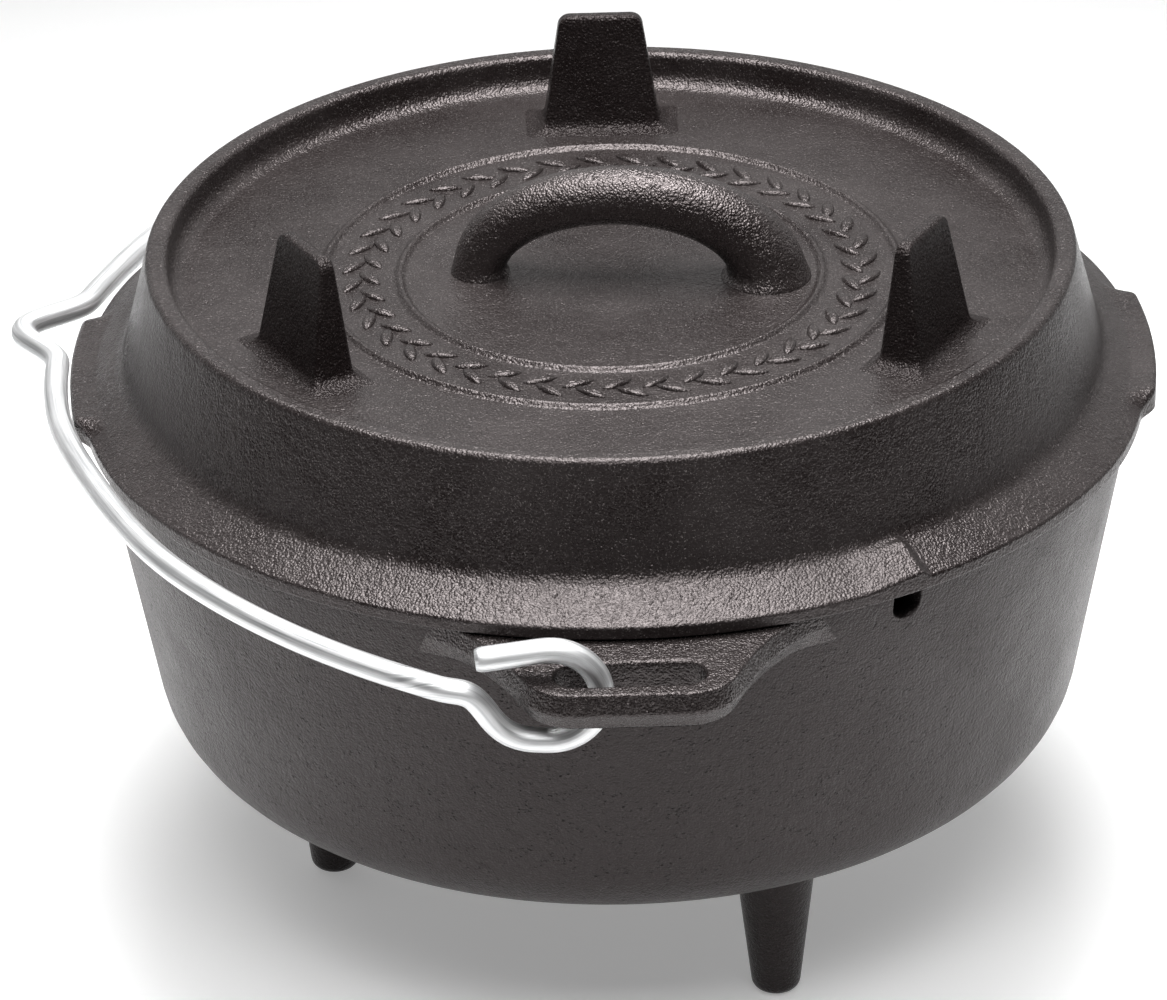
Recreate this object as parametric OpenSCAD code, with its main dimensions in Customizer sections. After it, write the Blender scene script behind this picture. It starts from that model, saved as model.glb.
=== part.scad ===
// Camp dutch oven: a cast-iron pot on three legs, a dished lid that carries coals, and a wire bail.
// Millimetres, +Z up. The origin is on the ground, under the middle of the pot.

/* [Pot] */
// Outer radius of the pot at its rim
pot_r = 108.2; // [95:0.1:125]
// Height of the pot from its underside to its rim
pot_h = 76.4; // [60:0.1:100]
// Lean of the wall from upright, in degrees
pot_taper = 10.2; // [4:0.1:14]
// Thickness of the wall
pot_wall = 5; // [3.5:0.1:7]
// Thickness of the floor
pot_floor = 6; // [4:0.1:8]
// Radius of the outer corner between floor and wall
pot_corner_r = 17.5; // [10:0.5:25]

/* [Thermometer notch] */
// Width of the notch in the rim
notch_w = 6.6; // [5.5:0.1:10]
// Depth of the notch below the rim
notch_depth = 7; // [5.5:0.1:9]
// Direction of the notch, in degrees from +X
notch_az = -59; // [-75:1:-45]

/* [Legs] */
// Height of the legs, from the ground to the pot's underside
leg_h = 40.1; // [25:0.1:60]
// How far inside the foot of the wall the legs stand
leg_inset = 32.85; // [28:0.05:50]
// Radius of a leg at its tip
leg_tip_r = 4.9; // [4:0.1:7]
// Radius of a leg at the pot
leg_root_r = 9.6; // [7:0.1:12]
// Rounding of the tip
leg_tip_round = 2.4; // [0.5:0.1:3]

/* [Ears] */
// How far an ear stands out from the rim
ear_reach = 24.8; // [22:0.1:28]
// Width of an ear across its front corners
ear_w = 37.8; // [36:0.1:42]
// Height of an ear
ear_h = 8; // [6:0.1:9]
// Rounding of the front corners in plan
ear_corner_r = 12; // [6:0.5:13]
// Radius of the sweep that runs into the wall
ear_root_r = 56; // [46:1:60]
// How far the sweep cuts into the wall
ear_root_bite = 2.5; // [2:0.1:3]
// Angle at which each side spreads on its way to the wall
ear_splay = 21.5; // [18:0.5:25]
// How far the bevel cuts back under the front edge
ear_bevel = 1.9; // [1:0.1:3.5]
// Height of that bevel
ear_bevel_h = 3.7; // [2:0.1:5]
// Length of the slot
slot_l = 29.4; // [28:0.1:31]
// Width of the slot
slot_w = 8.8; // [7.5:0.1:10]
// Metal left between the slot and the front edge
slot_bar = 4.8; // [3:0.1:6]

/* [Lid] */
// Gap that shows between the rim and the lid's flange
lid_seat_gap = 0.4; // [0.3:0.1:1]
// How far the flange stands out beyond the rim
flange_over = 3.3; // [2:0.1:5]
// Height of the flange's outer edge
flange_edge = 2.6; // [1.5:0.1:4]
// How far inside the flange's edge the sloping wall starts
lid_wall_in = 10.1; // [8:0.1:14]
// Height of the foot of the sloping wall above the flange's underside
lid_wall_z = 7.6; // [5:0.1:10]
// How far the sloping wall leans in on its way up
lid_lean = 6; // [2:0.1:9]
// Height of the raised rim above the flange's underside
lid_h = 31; // [24:0.1:40]
// Width of the raised rim
lid_rim_w = 4.2; // [3:0.1:6]
// Depth of the dish inside the raised rim
dish_depth = 7.3; // [5:0.1:12]
// Thickness of the plate
lid_plate_t = 5; // [3.5:0.1:7]
// Fillet between the plate and the raised rim
dish_fillet_r = 2.5; // [1:0.1:3]
// Rounding of the raised rim's two edges
lid_rim_round = 1.3; // [0.5:0.1:1.4]
// Fillet between the sloping wall and the flange
lid_wall_fillet_r = 4; // [1:0.5:8]
// Rounding of the flange's edge
flange_round = 0.7; // [0.3:0.1:0.7]
// Bevel in the upper corner of the lid's hollow
inside_bevel = 4; // [2:0.5:8]
// Depth of the locating ring below the flange
ring_depth = 4; // [2:0.1:8]
// Width of the locating ring
ring_w = 4.5; // [3:0.1:6]
// Clearance of the locating ring inside the pot
ring_gap = 0.8; // [0.4:0.1:2]

/* [Lid tabs] */
// How far a side tab stands out from the flange
tab_reach = 0.8; // [0.5:0.1:4]
// Width of a tab
tab_w = 45; // [38:0.5:50]
// Width of a tab at its root
tab_root_w = 60; // [52:0.5:66]
// Thickness of a tab
tab_h = 4.8; // [3:0.1:6]
// Radius of a tab's curved outer edge
tab_edge_r = 110; // [90:1:130]

/* [Lid feet] */
// How far inside the edge of the dish the feet stand
foot_inset = 18.5; // [12:0.1:28]
// Height of a foot above the plate
foot_h = 25.9; // [18:0.1:35]
// Width of a foot at the plate
foot_base_w = 25; // [18:0.1:30]
// Width of a foot at its tip
foot_tip_w = 16.9; // [12:0.1:18]
// Thickness of a foot at the plate
foot_base_t = 9.4; // [6:0.1:12]
// Thickness of a foot at its tip
foot_tip_t = 2.9; // [2:0.1:5]
// Lean of a foot's tip towards the middle of the lid
foot_lean = 1.1; // [0:0.1:2]

/* [Lid handle] */
// Distance between the middles of the handle's two ends
handle_span = 59; // [50:0.5:70]
// Height of the handle's middle line above the plate
handle_rise = 17.8; // [15:0.1:30]
// Radius of the handle at its thin end
handle_thin_r = 5.4; // [4:0.1:7]
// Radius of the handle at its thick end, before the flare
handle_thick_r = 6.8; // [5.5:0.1:9]
// Flare of the thick end where it meets the plate
handle_flare = 1.8; // [0:0.1:3]
// How far the handle sits off the middle, towards its thick end
handle_shift = 2.5; // [0:0.1:6]
// Turn of the handle from +X, in degrees
handle_turn = -5.4; // [-30:0.1:30]

/* [Bail] */
// Diameter of the wire
wire_d = 5; // [4:0.1:5.4]
// Radius of the hook, at the middle of the wire
hook_r = 10; // [9.8:0.1:10.5]
// How much longer than round the hook is
hook_stretch = 2.8; // [1:0.1:3]
// Length of the hook's straight free end
hook_end_l = 13; // [8:0.5:16]
// Slope of the bail at rest, in degrees above level
bail_slope = 4.5; // [4:0.1:8]
// Clearance between the lid's tab and the bail at rest
bail_gap = 0.5; // [0.4:0.1:3]
// Where the bow starts, measured from the hooks
arm_l = 24; // [22:0.5:30]
// How far the bow's ends lie inside the hooks
arm_inset = 3.7; // [2:0.1:6]
// Depth of the kink for the pot hook
kink_depth = 9.6; // [4:0.1:12]
// Half the width of the kink
kink_w = 15; // [10:0.5:20]
// How far the kink sits from the bail's middle
kink_shift = 20.5; // [0:0.5:30]

/* [Hidden] */
$fn = 96;

iron = "#4a4644";
iron_lid = "#403c3b";
steel = "#d6d8da";

// Directions of the three legs and of the three lid feet, in degrees from +X
leg_left_az = 180;
leg_front_az = -60;
leg_back_az = 60;
foot_back_az = 90;
foot_left_az = 210;
foot_right_az = 330;

// Steps of a rounded corner, sides of a round bar, and a cut that passes beyond a face
corner_steps = 6;
bar_sides = 16;
over = 1;

// Pot
rim_z = leg_h + pot_h;
pot_foot_r = pot_r - pot_h * tan(pot_taper);
leg_ring_r = pot_foot_r - leg_inset;
pot_inner_r = pot_r - pot_wall / cos(pot_taper);
function pot_wall_r(z) = pot_r - (rim_z - z) * tan(pot_taper);
function pot_inside_r(z) = pot_inner_r - (rim_z - z) * tan(pot_taper);

// Ears and their slots, measured outwards from the pot's axis
ear_front_y = pot_r + ear_reach;
slot_y = ear_front_y - slot_bar - slot_w / 2;
ear_web = (ear_w - slot_l) / 2 + (ear_front_y - slot_y) * tan(ear_splay);

// Lid
flange_z = rim_z + lid_seat_gap;
flange_r = pot_r + flange_over;
lid_wall_r = flange_r - lid_wall_in;
lid_rim_r = lid_wall_r - lid_lean;
lid_top_z = flange_z + lid_h;
plate_z = lid_top_z - dish_depth;
tab_x = flange_r + tab_reach;
ring_r = pot_inner_r - ring_gap;
dish_lean = 0.5;
dish_r = lid_rim_r - lid_rim_w - dish_lean;
foot_ring_r = dish_r - foot_inset;
inside_step = 2;
lid_inside_r = dish_r - inside_step;
plate_r = dish_r - dish_fillet_r;

// Handle: height of its square stand on the plate, and how late the thick end flares
handle_stub = 0.5;
flare_power = 6;

// Bail: u runs outwards along the bail, w stands square to it, and the pivot is in the ear's web
wire_r = wire_d / 2;
hook_shift = 0.3;
hook_drop = 0.2;
pivot_x = -(slot_l + ear_web) / 2 + hook_shift;
pivot_z = rim_z - ear_h / 2 - hook_drop;
bail_mid_x = tab_x + bail_gap + wire_r;
bail_reach = (bail_mid_x + pivot_x) / cos(bail_slope);
arm_y = slot_y - arm_inset;
bow_mid = (bail_reach ^ 2 - arm_l ^ 2 - arm_y ^ 2) / (2 * (bail_reach - arm_l));
bow_r = bail_reach - bow_mid;
arm_az = atan2(arm_y, arm_l - bow_mid);
hook_leave_az = -50;
hook_top_az = 78;
arm_start = 15;
arm_ease = 4;
bow_ease = 3;

// Outline whose corners [x, y, r] are rounded to the radius r
function unit(v) = v / norm(v);
function turn_of(a) = a > 180 ? a - 360 : a < -180 ? a + 360 : a;
function corner(a, b, c, r) =
    let (u = unit(a - b), v = unit(c - b), half = acos(u * v) / 2)
    let (middle = b + unit(u + v) * r / sin(half), p = b + u * r / tan(half) - middle)
    let (q = b + v * r / tan(half) - middle, start = atan2(p.y, p.x), turn = turn_of(atan2(q.y, q.x) - start))
    [for (i = [0 : corner_steps])
        let (az = start + turn * i / corner_steps) middle + r * [cos(az), sin(az)]];
function flat(p) = [p.x, p.y];
function rounded(pts) =
    let (n = len(pts))
    [for (i = [0 : n - 1])
        each pts[i].z > 0
            ? corner(flat(pts[(i + n - 1) % n]), flat(pts[i]), flat(pts[(i + 1) % n]), pts[i].z)
            : [flat(pts[i])]];

// Round bar of changing radius along a path, closed at both ends
function bar_tangents(path) =
    let (n = len(path))
    [for (i = [0 : n - 1]) unit(path[min(i + 1, n - 1)] - path[max(i - 1, 0)])];
function square_to(v, tangent) = unit(v - (v * tangent) * tangent);
function bar_normals(tangents, first) =
    [for (i = 0, v = square_to(first, tangents[0]);
          i < len(tangents);
          i = i + 1, v = i < len(tangents) ? square_to(v, tangents[i]) : v) v];
module bar(path, radii, first) {
    tangents = bar_tangents(path);
    normals = bar_normals(tangents, first);
    n = bar_sides;
    rings = len(path);
    points = [for (i = [0 : rings - 1], j = [0 : n - 1])
        let (az = 360 * j / n)
        path[i] + radii[i] * (cos(az) * normals[i] + sin(az) * cross(tangents[i], normals[i]))];
    sides = [for (i = [0 : rings - 2], j = [0 : n - 1])
        let (a = i * n + j, b = i * n + (j + 1) % n, c = a + n, d = b + n)
        each [[a, d, b], [a, c, d]]];
    start_cap = [for (j = [1 : n - 2]) [0, j, j + 1]];
    last = (rings - 1) * n;
    end_cap = [for (j = [1 : n - 2]) [last, last + j + 1, last + j]];
    polyhedron(points, concat(sides, start_cap, end_cap));
}

// Pot bowl: floor, leaning wall and rim in one turned outline, with the notch cut through the rim
module pot_bowl() {
    inner_r = pot_corner_r - pot_wall;
    inner_z = leg_h + pot_floor;
    outline = rounded([
        [0, leg_h, 0],
        [pot_foot_r, leg_h, pot_corner_r],
        [pot_r, rim_z, 0],
        [pot_inner_r, rim_z, 0],
        [pot_inside_r(inner_z), inner_z, inner_r],
        [0, inner_z, 0]]);
    color(iron) difference() {
        rotate_extrude() polygon(outline);
        rotate(notch_az) translate([pot_inner_r - 3 * pot_wall, 0, rim_z - notch_depth + notch_w / 2])
            rotate([0, 90, 0]) linear_extrude(6 * pot_wall) {
                circle(d = notch_w);
                translate([-notch_depth, -notch_w / 2]) square([notch_depth, notch_w]);
            }
    }
}

// Leg: a tapered round post with a flat tip, ending flush with the pot's underside
module leg(az) {
    outline = rounded([
        [0, 0, 0],
        [leg_tip_r, 0, leg_tip_round],
        [leg_root_r, leg_h, 0],
        [0, leg_h, 0]]);
    color(iron) rotate(az) translate([leg_ring_r, 0, 0]) rotate_extrude() polygon(outline);
}
module pot_leg_left() { leg(leg_left_az); }
module pot_leg_front() { leg(leg_front_az); }
module pot_leg_back() { leg(leg_back_az); }

// Ear: a slotted lug with a bevelled front, cut to the wall that it grows from
module ear() {
    half = ear_w / 2;
    cut_z = rim_z - ear_h - over;
    cut_h = ear_h + 2 * over;
    side = [sin(ear_splay), cos(ear_splay)];
    away = [half + ear_root_r * side.y, -ear_front_y - ear_root_r * side.x];
    sweep_far = pot_r + ear_root_r - ear_root_bite;
    side_l = -away * side - sqrt((away * side) ^ 2 - away * away + sweep_far ^ 2);
    sweep = away + side_l * side;
    sweep_start = 180 - ear_splay;
    sweep_end = atan2(-sweep.y, -sweep.x);
    root_y = pot_r / 2;
    front = rounded([
        [-half - side_l * side.x, -ear_front_y + side_l * side.y, 0],
        [-half, -ear_front_y, ear_corner_r],
        [half, -ear_front_y, ear_corner_r],
        [half + side_l * side.x, -ear_front_y + side_l * side.y, 0]]);
    right_sweep = [for (i = [1 : corner_steps])
        let (az = sweep_start + (sweep_end - sweep_start) * i / corner_steps)
        sweep + ear_root_r * [cos(az), sin(az)]];
    left_sweep = [for (i = [corner_steps - 1 : -1 : 0]) [-right_sweep[i].x, right_sweep[i].y]];
    plan = concat(front, right_sweep, [[half, -root_y], [-half, -root_y]], left_sweep);
    profile = [
        [root_y - over, rim_z],
        [ear_front_y, rim_z],
        [ear_front_y, rim_z - ear_h + ear_bevel_h],
        [ear_front_y - ear_bevel, rim_z - ear_h],
        [root_y - over, rim_z - ear_h]];
    color(iron) difference() {
        intersection() {
            translate([0, 0, cut_z]) linear_extrude(cut_h) polygon(plan);
            rotate([90, 0, -90]) translate([0, 0, -2 * ear_w]) linear_extrude(4 * ear_w) polygon(profile);
        }
        translate([0, 0, cut_z]) cylinder(h = cut_h, r1 = pot_wall_r(cut_z), r2 = pot_wall_r(cut_z + cut_h));
        translate([0, -slot_y, cut_z]) linear_extrude(cut_h) {
            square([slot_l - slot_w, slot_w], center = true);
            for (s = [-1, 1]) translate([s * (slot_l - slot_w) / 2, 0]) circle(d = slot_w);
        }
    }
}
module pot_ear_front() { ear(); }
module pot_ear_back() { rotate(180) ear(); }

// Lid plate: the flat middle of the lid's casting
module lid_plate() {
    color(iron_lid) rotate_extrude()
        translate([0, plate_z - lid_plate_t]) square([plate_r, lid_plate_t]);
}

// Lid skirt: plate edge, raised rim, wall, flange and locating ring in one turned outline, and two tabs
module lid_skirt() {
    ring_in_r = ring_r - ring_w;
    hollow_z = plate_z - lid_plate_t;
    inside_slope = (ring_in_r - lid_inside_r) / (hollow_z - flange_z + ring_depth);
    outline = rounded([
        [plate_r, plate_z, 0],
        [dish_r, plate_z, dish_fillet_r],
        [lid_rim_r - lid_rim_w, lid_top_z, lid_rim_round],
        [lid_rim_r, lid_top_z, lid_rim_round],
        [lid_wall_r, flange_z + lid_wall_z, lid_wall_fillet_r],
        [flange_r, flange_z + flange_edge, flange_round],
        [flange_r, flange_z, flange_round],
        [ring_r, flange_z, 0],
        [ring_r, flange_z - ring_depth, 0],
        [ring_in_r, flange_z - ring_depth, 0],
        [lid_inside_r + inside_bevel * inside_slope, hollow_z - inside_bevel, 0],
        [lid_inside_r - inside_bevel, hollow_z, 0],
        [plate_r, hollow_z, 0]]);
    tab_half_az = asin(tab_w / 2 / tab_edge_r);
    tab_edge = [for (i = [-corner_steps : corner_steps])
        let (az = tab_half_az * i / corner_steps)
        [tab_x - tab_edge_r * (1 - cos(az)), tab_edge_r * sin(az)]];
    tab = concat([[ring_r + over, -tab_root_w / 2]], tab_edge, [[ring_r + over, tab_root_w / 2]]);
    color(iron_lid) union() {
        rotate_extrude() polygon(outline);
        for (az = [0, 180]) rotate(az) translate([0, 0, flange_z]) linear_extrude(tab_h) polygon(tab);
    }
}

// Foot: a blade that tapers both ways, standing on the plate
module foot(az) {
    front = [
        [-foot_base_w / 2, 0], [foot_base_w / 2, 0],
        [foot_tip_w / 2, foot_h], [-foot_tip_w / 2, foot_h]];
    edge = [
        [-foot_base_t / 2, 0], [foot_base_t / 2, 0],
        [foot_tip_t / 2 - foot_lean, foot_h], [-foot_tip_t / 2 - foot_lean, foot_h]];
    color(iron_lid) rotate(az) translate([foot_ring_r, 0, plate_z]) intersection() {
        rotate([90, 0, 90]) translate([0, 0, -foot_base_t]) linear_extrude(2 * foot_base_t) polygon(front);
        rotate([90, 0, 0]) translate([0, 0, -foot_base_w]) linear_extrude(2 * foot_base_w) polygon(edge);
    }
}
module lid_foot_back() { foot(foot_back_az); }
module lid_foot_left() { foot(foot_left_az); }
module lid_foot_right() { foot(foot_right_az); }

// Handle: an arched bar that thickens towards one end, standing square on the plate
module lid_handle() {
    turns = [for (az = [0 : 6 : 180]) az];
    rise = handle_rise - handle_stub;
    arch = [for (az = turns) [-cos(az) * handle_span / 2, 0, handle_stub + sin(az) * rise]];
    ends = [for (s = [-1, 1]) [s * handle_span / 2, 0, 0]];
    path = concat([ends[0]], arch, [ends[1]]);
    grow = handle_thick_r - handle_thin_r;
    radii = concat(
        [handle_thin_r],
        [for (az = turns) handle_thin_r + grow * az / 180 + handle_flare * (az / 180) ^ flare_power],
        [handle_thick_r + handle_flare]);
    color(iron_lid) rotate(handle_turn) translate([handle_shift, 0, plate_z]) bar(path, radii, [0, 1, 0]);
}

// Bail: one wire, from the front hook along the arm and the bow to the back hook, given in [u, y, w]
function curve(a, b, c, d, n) =
    [for (i = [1 : n])
        let (t = i / n, s = 1 - t)
        s ^ 3 * a + 3 * s ^ 2 * t * b + 3 * s * t ^ 2 * c + t ^ 3 * d];
function hook_point(az) =
    let (back = az > 0 ? hook_stretch : 0)
    [hook_r * cos(az) - back, -slot_y, hook_r * sin(az)];
function hook_along(az) = [sin(az), 0, -cos(az)];
function kink(y) =
    let (part = min(abs(y - kink_shift) / kink_w, 1))
    kink_depth * (1 + cos(180 * part)) / 2;
function bow_point(az) =
    let (y = bow_r * sin(az)) [bow_mid + bow_r * cos(az) + kink(y), y, 0];
function hook_path() =
    let (top = hook_point(hook_top_az), leave = hook_point(hook_leave_az), pull = arm_ease)
    let (arm = [arm_start, -slot_y, 0], bow_end = bow_point(-arm_az))
    let (bow_pull = bow_ease * [sin(arm_az), cos(arm_az), 0], along = [1, 0, 0])
    concat(
        [for (t = [1 : -0.25 : 0.25]) top + t * hook_end_l * hook_along(hook_top_az)],
        [for (az = [hook_top_az : 12 : 270]) hook_point(az)],
        [for (az = [-90 : 10 : hook_leave_az]) hook_point(az)],
        curve(leave, leave - pull * hook_along(hook_leave_az), arm - arm_ease * along, arm, 5),
        curve(arm, arm + bow_ease * along, bow_end - bow_pull, bow_end, 4));
function mirrored(path) = [for (i = [len(path) - 1 : -1 : 0]) [path[i].x, -path[i].y, path[i].z]];
module bail_wire() {
    bow_steps = 96;
    bow = [for (i = [1 : bow_steps - 1]) bow_point(arm_az * (2 * i / bow_steps - 1))];
    route = concat(hook_path(), bow, mirrored(hook_path()));
    path = [for (p = route) [-p.x, p.y, p.z]];
    color(steel) translate([pivot_x, 0, pivot_z]) rotate([0, bail_slope, 0])
        bar(path, [for (p = path) wire_r], [0, 1, 0]);
}

pot_bowl();
pot_leg_left();
pot_leg_front();
pot_leg_back();
pot_ear_front();
pot_ear_back();
lid_plate();
lid_skirt();
lid_handle();
lid_foot_back();
lid_foot_left();
lid_foot_right();
bail_wire();
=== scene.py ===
# Camp dutch oven: an iron pot on three legs, its dished iron lid, and a wire bail hooked through its ears.
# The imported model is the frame. The sections follow the object as it is put together, in millimetres.
import bpy
import numpy as np
from mathutils import Matrix


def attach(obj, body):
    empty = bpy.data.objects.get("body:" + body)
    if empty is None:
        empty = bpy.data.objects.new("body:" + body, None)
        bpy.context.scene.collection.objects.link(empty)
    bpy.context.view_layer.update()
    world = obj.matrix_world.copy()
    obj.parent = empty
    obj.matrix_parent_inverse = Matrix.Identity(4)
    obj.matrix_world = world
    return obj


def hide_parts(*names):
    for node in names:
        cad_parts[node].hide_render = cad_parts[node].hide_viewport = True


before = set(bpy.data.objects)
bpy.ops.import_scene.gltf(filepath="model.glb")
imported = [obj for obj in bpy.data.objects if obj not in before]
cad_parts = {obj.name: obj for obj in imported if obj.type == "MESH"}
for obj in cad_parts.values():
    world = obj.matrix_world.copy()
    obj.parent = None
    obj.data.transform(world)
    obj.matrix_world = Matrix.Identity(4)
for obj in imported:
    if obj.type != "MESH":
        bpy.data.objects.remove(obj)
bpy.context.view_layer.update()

# Bowl of the pot: a round, slightly tapered iron casting with a rounded foot and an open rim.
# It is cast in sand in one piece with its legs and ears, and seasoned with oil until it is a warm black.
# A round-bottomed notch in the rim lets a thermometer's lead out under the lid.
MM = 0.001
pot_r, pot_wall, pot_floor, pot_taper = 108.2, 5.08, 6.0, np.radians(10.2)
rim_z, foot_z, pole_r = 116.5, 40.1, 5.0
foot_round, inner_round, rim_round, inner_rim_round = 17.5, 12.5, 1.5, 1.0
notch_az, notch_r, notch_mid_z, notch_band, notch_steps = np.radians(-59), 3.3, 112.8, 12.0, 17
lip_out, lip_drop = np.array([0.05, 0.25, 0.6, 1.1]), np.array([0.5, 0.12, 0.02, 0.0])
column_gap, hair = 1.3, 1e-6
iron_black, iron_grey = (0.008, 0.0056, 0.0055, 1), (0.125, 0.113, 0.11, 1)
# The second, darker light end is painted shade: the bowl, legs and lid feet, of the same iron as the ears,
# lid and handle, get a dimmer oil mottle and dimmer painted glints
shaded_grey, oil_sheen = (0.06, 0.053, 0.052, 1), (1.0, 0.89, 0.885, 1)
lean = np.tan(pot_taper)
pot_foot_r = pot_r - (rim_z - foot_z) * lean
floor_z = foot_z + pot_floor
inner_foot_r = pot_r - pot_wall - (rim_z - floor_z) * lean


def outline(corners, bends=6, cuts=6):
    """A profile through corners (r, z, rounding). An arc that touches both lines turns each corner.
    The line between two arcs is cut into parts that get shorter towards the arcs, by cosine steps."""
    spots = np.array(corners, float)
    arcs = [spots[:1, :2]]
    for before, (r, z, bend), after in zip(spots[:-2, :2], spots[1:-1], spots[2:, :2]):
        corner = np.array([r, z])
        back = (before - corner) / np.linalg.norm(before - corner)
        on = (after - corner) / np.linalg.norm(after - corner)
        half = np.arccos(np.clip(back @ on, -1, 1)) / 2
        middle = corner + (back + on) / np.linalg.norm(back + on) * bend / np.sin(half)
        first = corner + back * bend / np.tan(half) - middle
        last = corner + on * bend / np.tan(half) - middle
        sweep = np.pi - 2 * half
        part = np.linspace(0, 1, bends + 1)[:, None]
        swing = np.sin((1 - part) * sweep) * first + np.sin(part * sweep) * last
        arcs.append(middle + swing / np.sin(sweep))
    arcs.append(spots[-1:, :2])
    ease = (1 - np.cos(np.linspace(0, np.pi, cuts + 1)[1:-1, None])) / 2
    runs = [arcs[0]]
    for a, b in zip(arcs[:-1], arcs[1:]):
        runs += [a[-1] + ease * (b[0] - a[-1]), b]
    return np.vstack(runs)


def turned(profile, az):
    """A profile turned about the upright axis: x = r cos(az), y = r sin(az), z = z."""
    r, z = profile[:, :1], profile[:, 1:]
    return np.stack(np.broadcast_arrays(r * np.cos(az), r * np.sin(az), z), -1)


def turn_from(middle, az):
    """The turn from middle to az, the short way round: the angle of e^(i (az - middle))."""
    return np.angle(np.exp(1j * (az - middle)))


def skin(name, grids, finish, ends="points"):
    """One closed skin, or several alike, from grids of points (rows, columns, xyz) in millimetres.
    Columns run round the piece and meet again, and rows run along it: four neighbours make a face.
    ends="points" closes the first and last rows on their middles.
    ends="ring" joins the last row to the first."""
    grids = grids if grids.ndim == 4 else grids[None]
    count, rows, cols = grids.shape[:3]
    at = np.arange(count * rows * cols).reshape(count, rows, cols)
    on = np.roll(at, -1, axis=2)
    if ends == "ring":
        up, up_on = np.roll(at, -1, axis=1), np.roll(on, -1, axis=1)
        faces = np.stack([at, on, up_on, up], -1).reshape(-1, 4).tolist()
        points = grids.reshape(-1, 3)
    else:
        faces = np.stack([at[:, :-1], on[:, :-1], on[:, 1:], at[:, 1:]], -1).reshape(-1, 4).tolist()
        low = at.size + np.repeat(np.arange(count), cols).reshape(count, cols)
        faces += np.stack([on[:, 0], at[:, 0], low], -1).reshape(-1, 3).tolist()
        faces += np.stack([at[:, -1], on[:, -1], low + count], -1).reshape(-1, 3).tolist()
        points = np.vstack([grids.reshape(-1, 3), grids[:, 0].mean(1), grids[:, -1].mean(1)])
    mesh = bpy.data.meshes.new(name)
    mesh.from_pydata((points * MM).tolist(), [], faces)
    mesh.shade_smooth()
    mesh.materials.append(finish)
    piece = bpy.data.objects.new(name, mesh)
    bpy.context.scene.collection.objects.link(piece)
    return piece


def put(tree, kind, inputs=(), **settings):
    """Adds one shader node, with its settings, and gives each named input its value or its link."""
    made = tree.nodes.new("ShaderNode" + kind)
    for key, value in settings.items():
        setattr(made, key, value)
    for key, value in dict(inputs).items():
        if isinstance(value, bpy.types.NodeSocket):
            tree.links.new(value, made.inputs[key])
        else:
            made.inputs[key].default_value = value
    return made


def worked(tree, kind, *values):
    """One sum worked out on a node: the named kind of arithmetic on the values or links."""
    return put(tree, "Math", dict(enumerate(values)), operation=kind).outputs[0]


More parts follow.
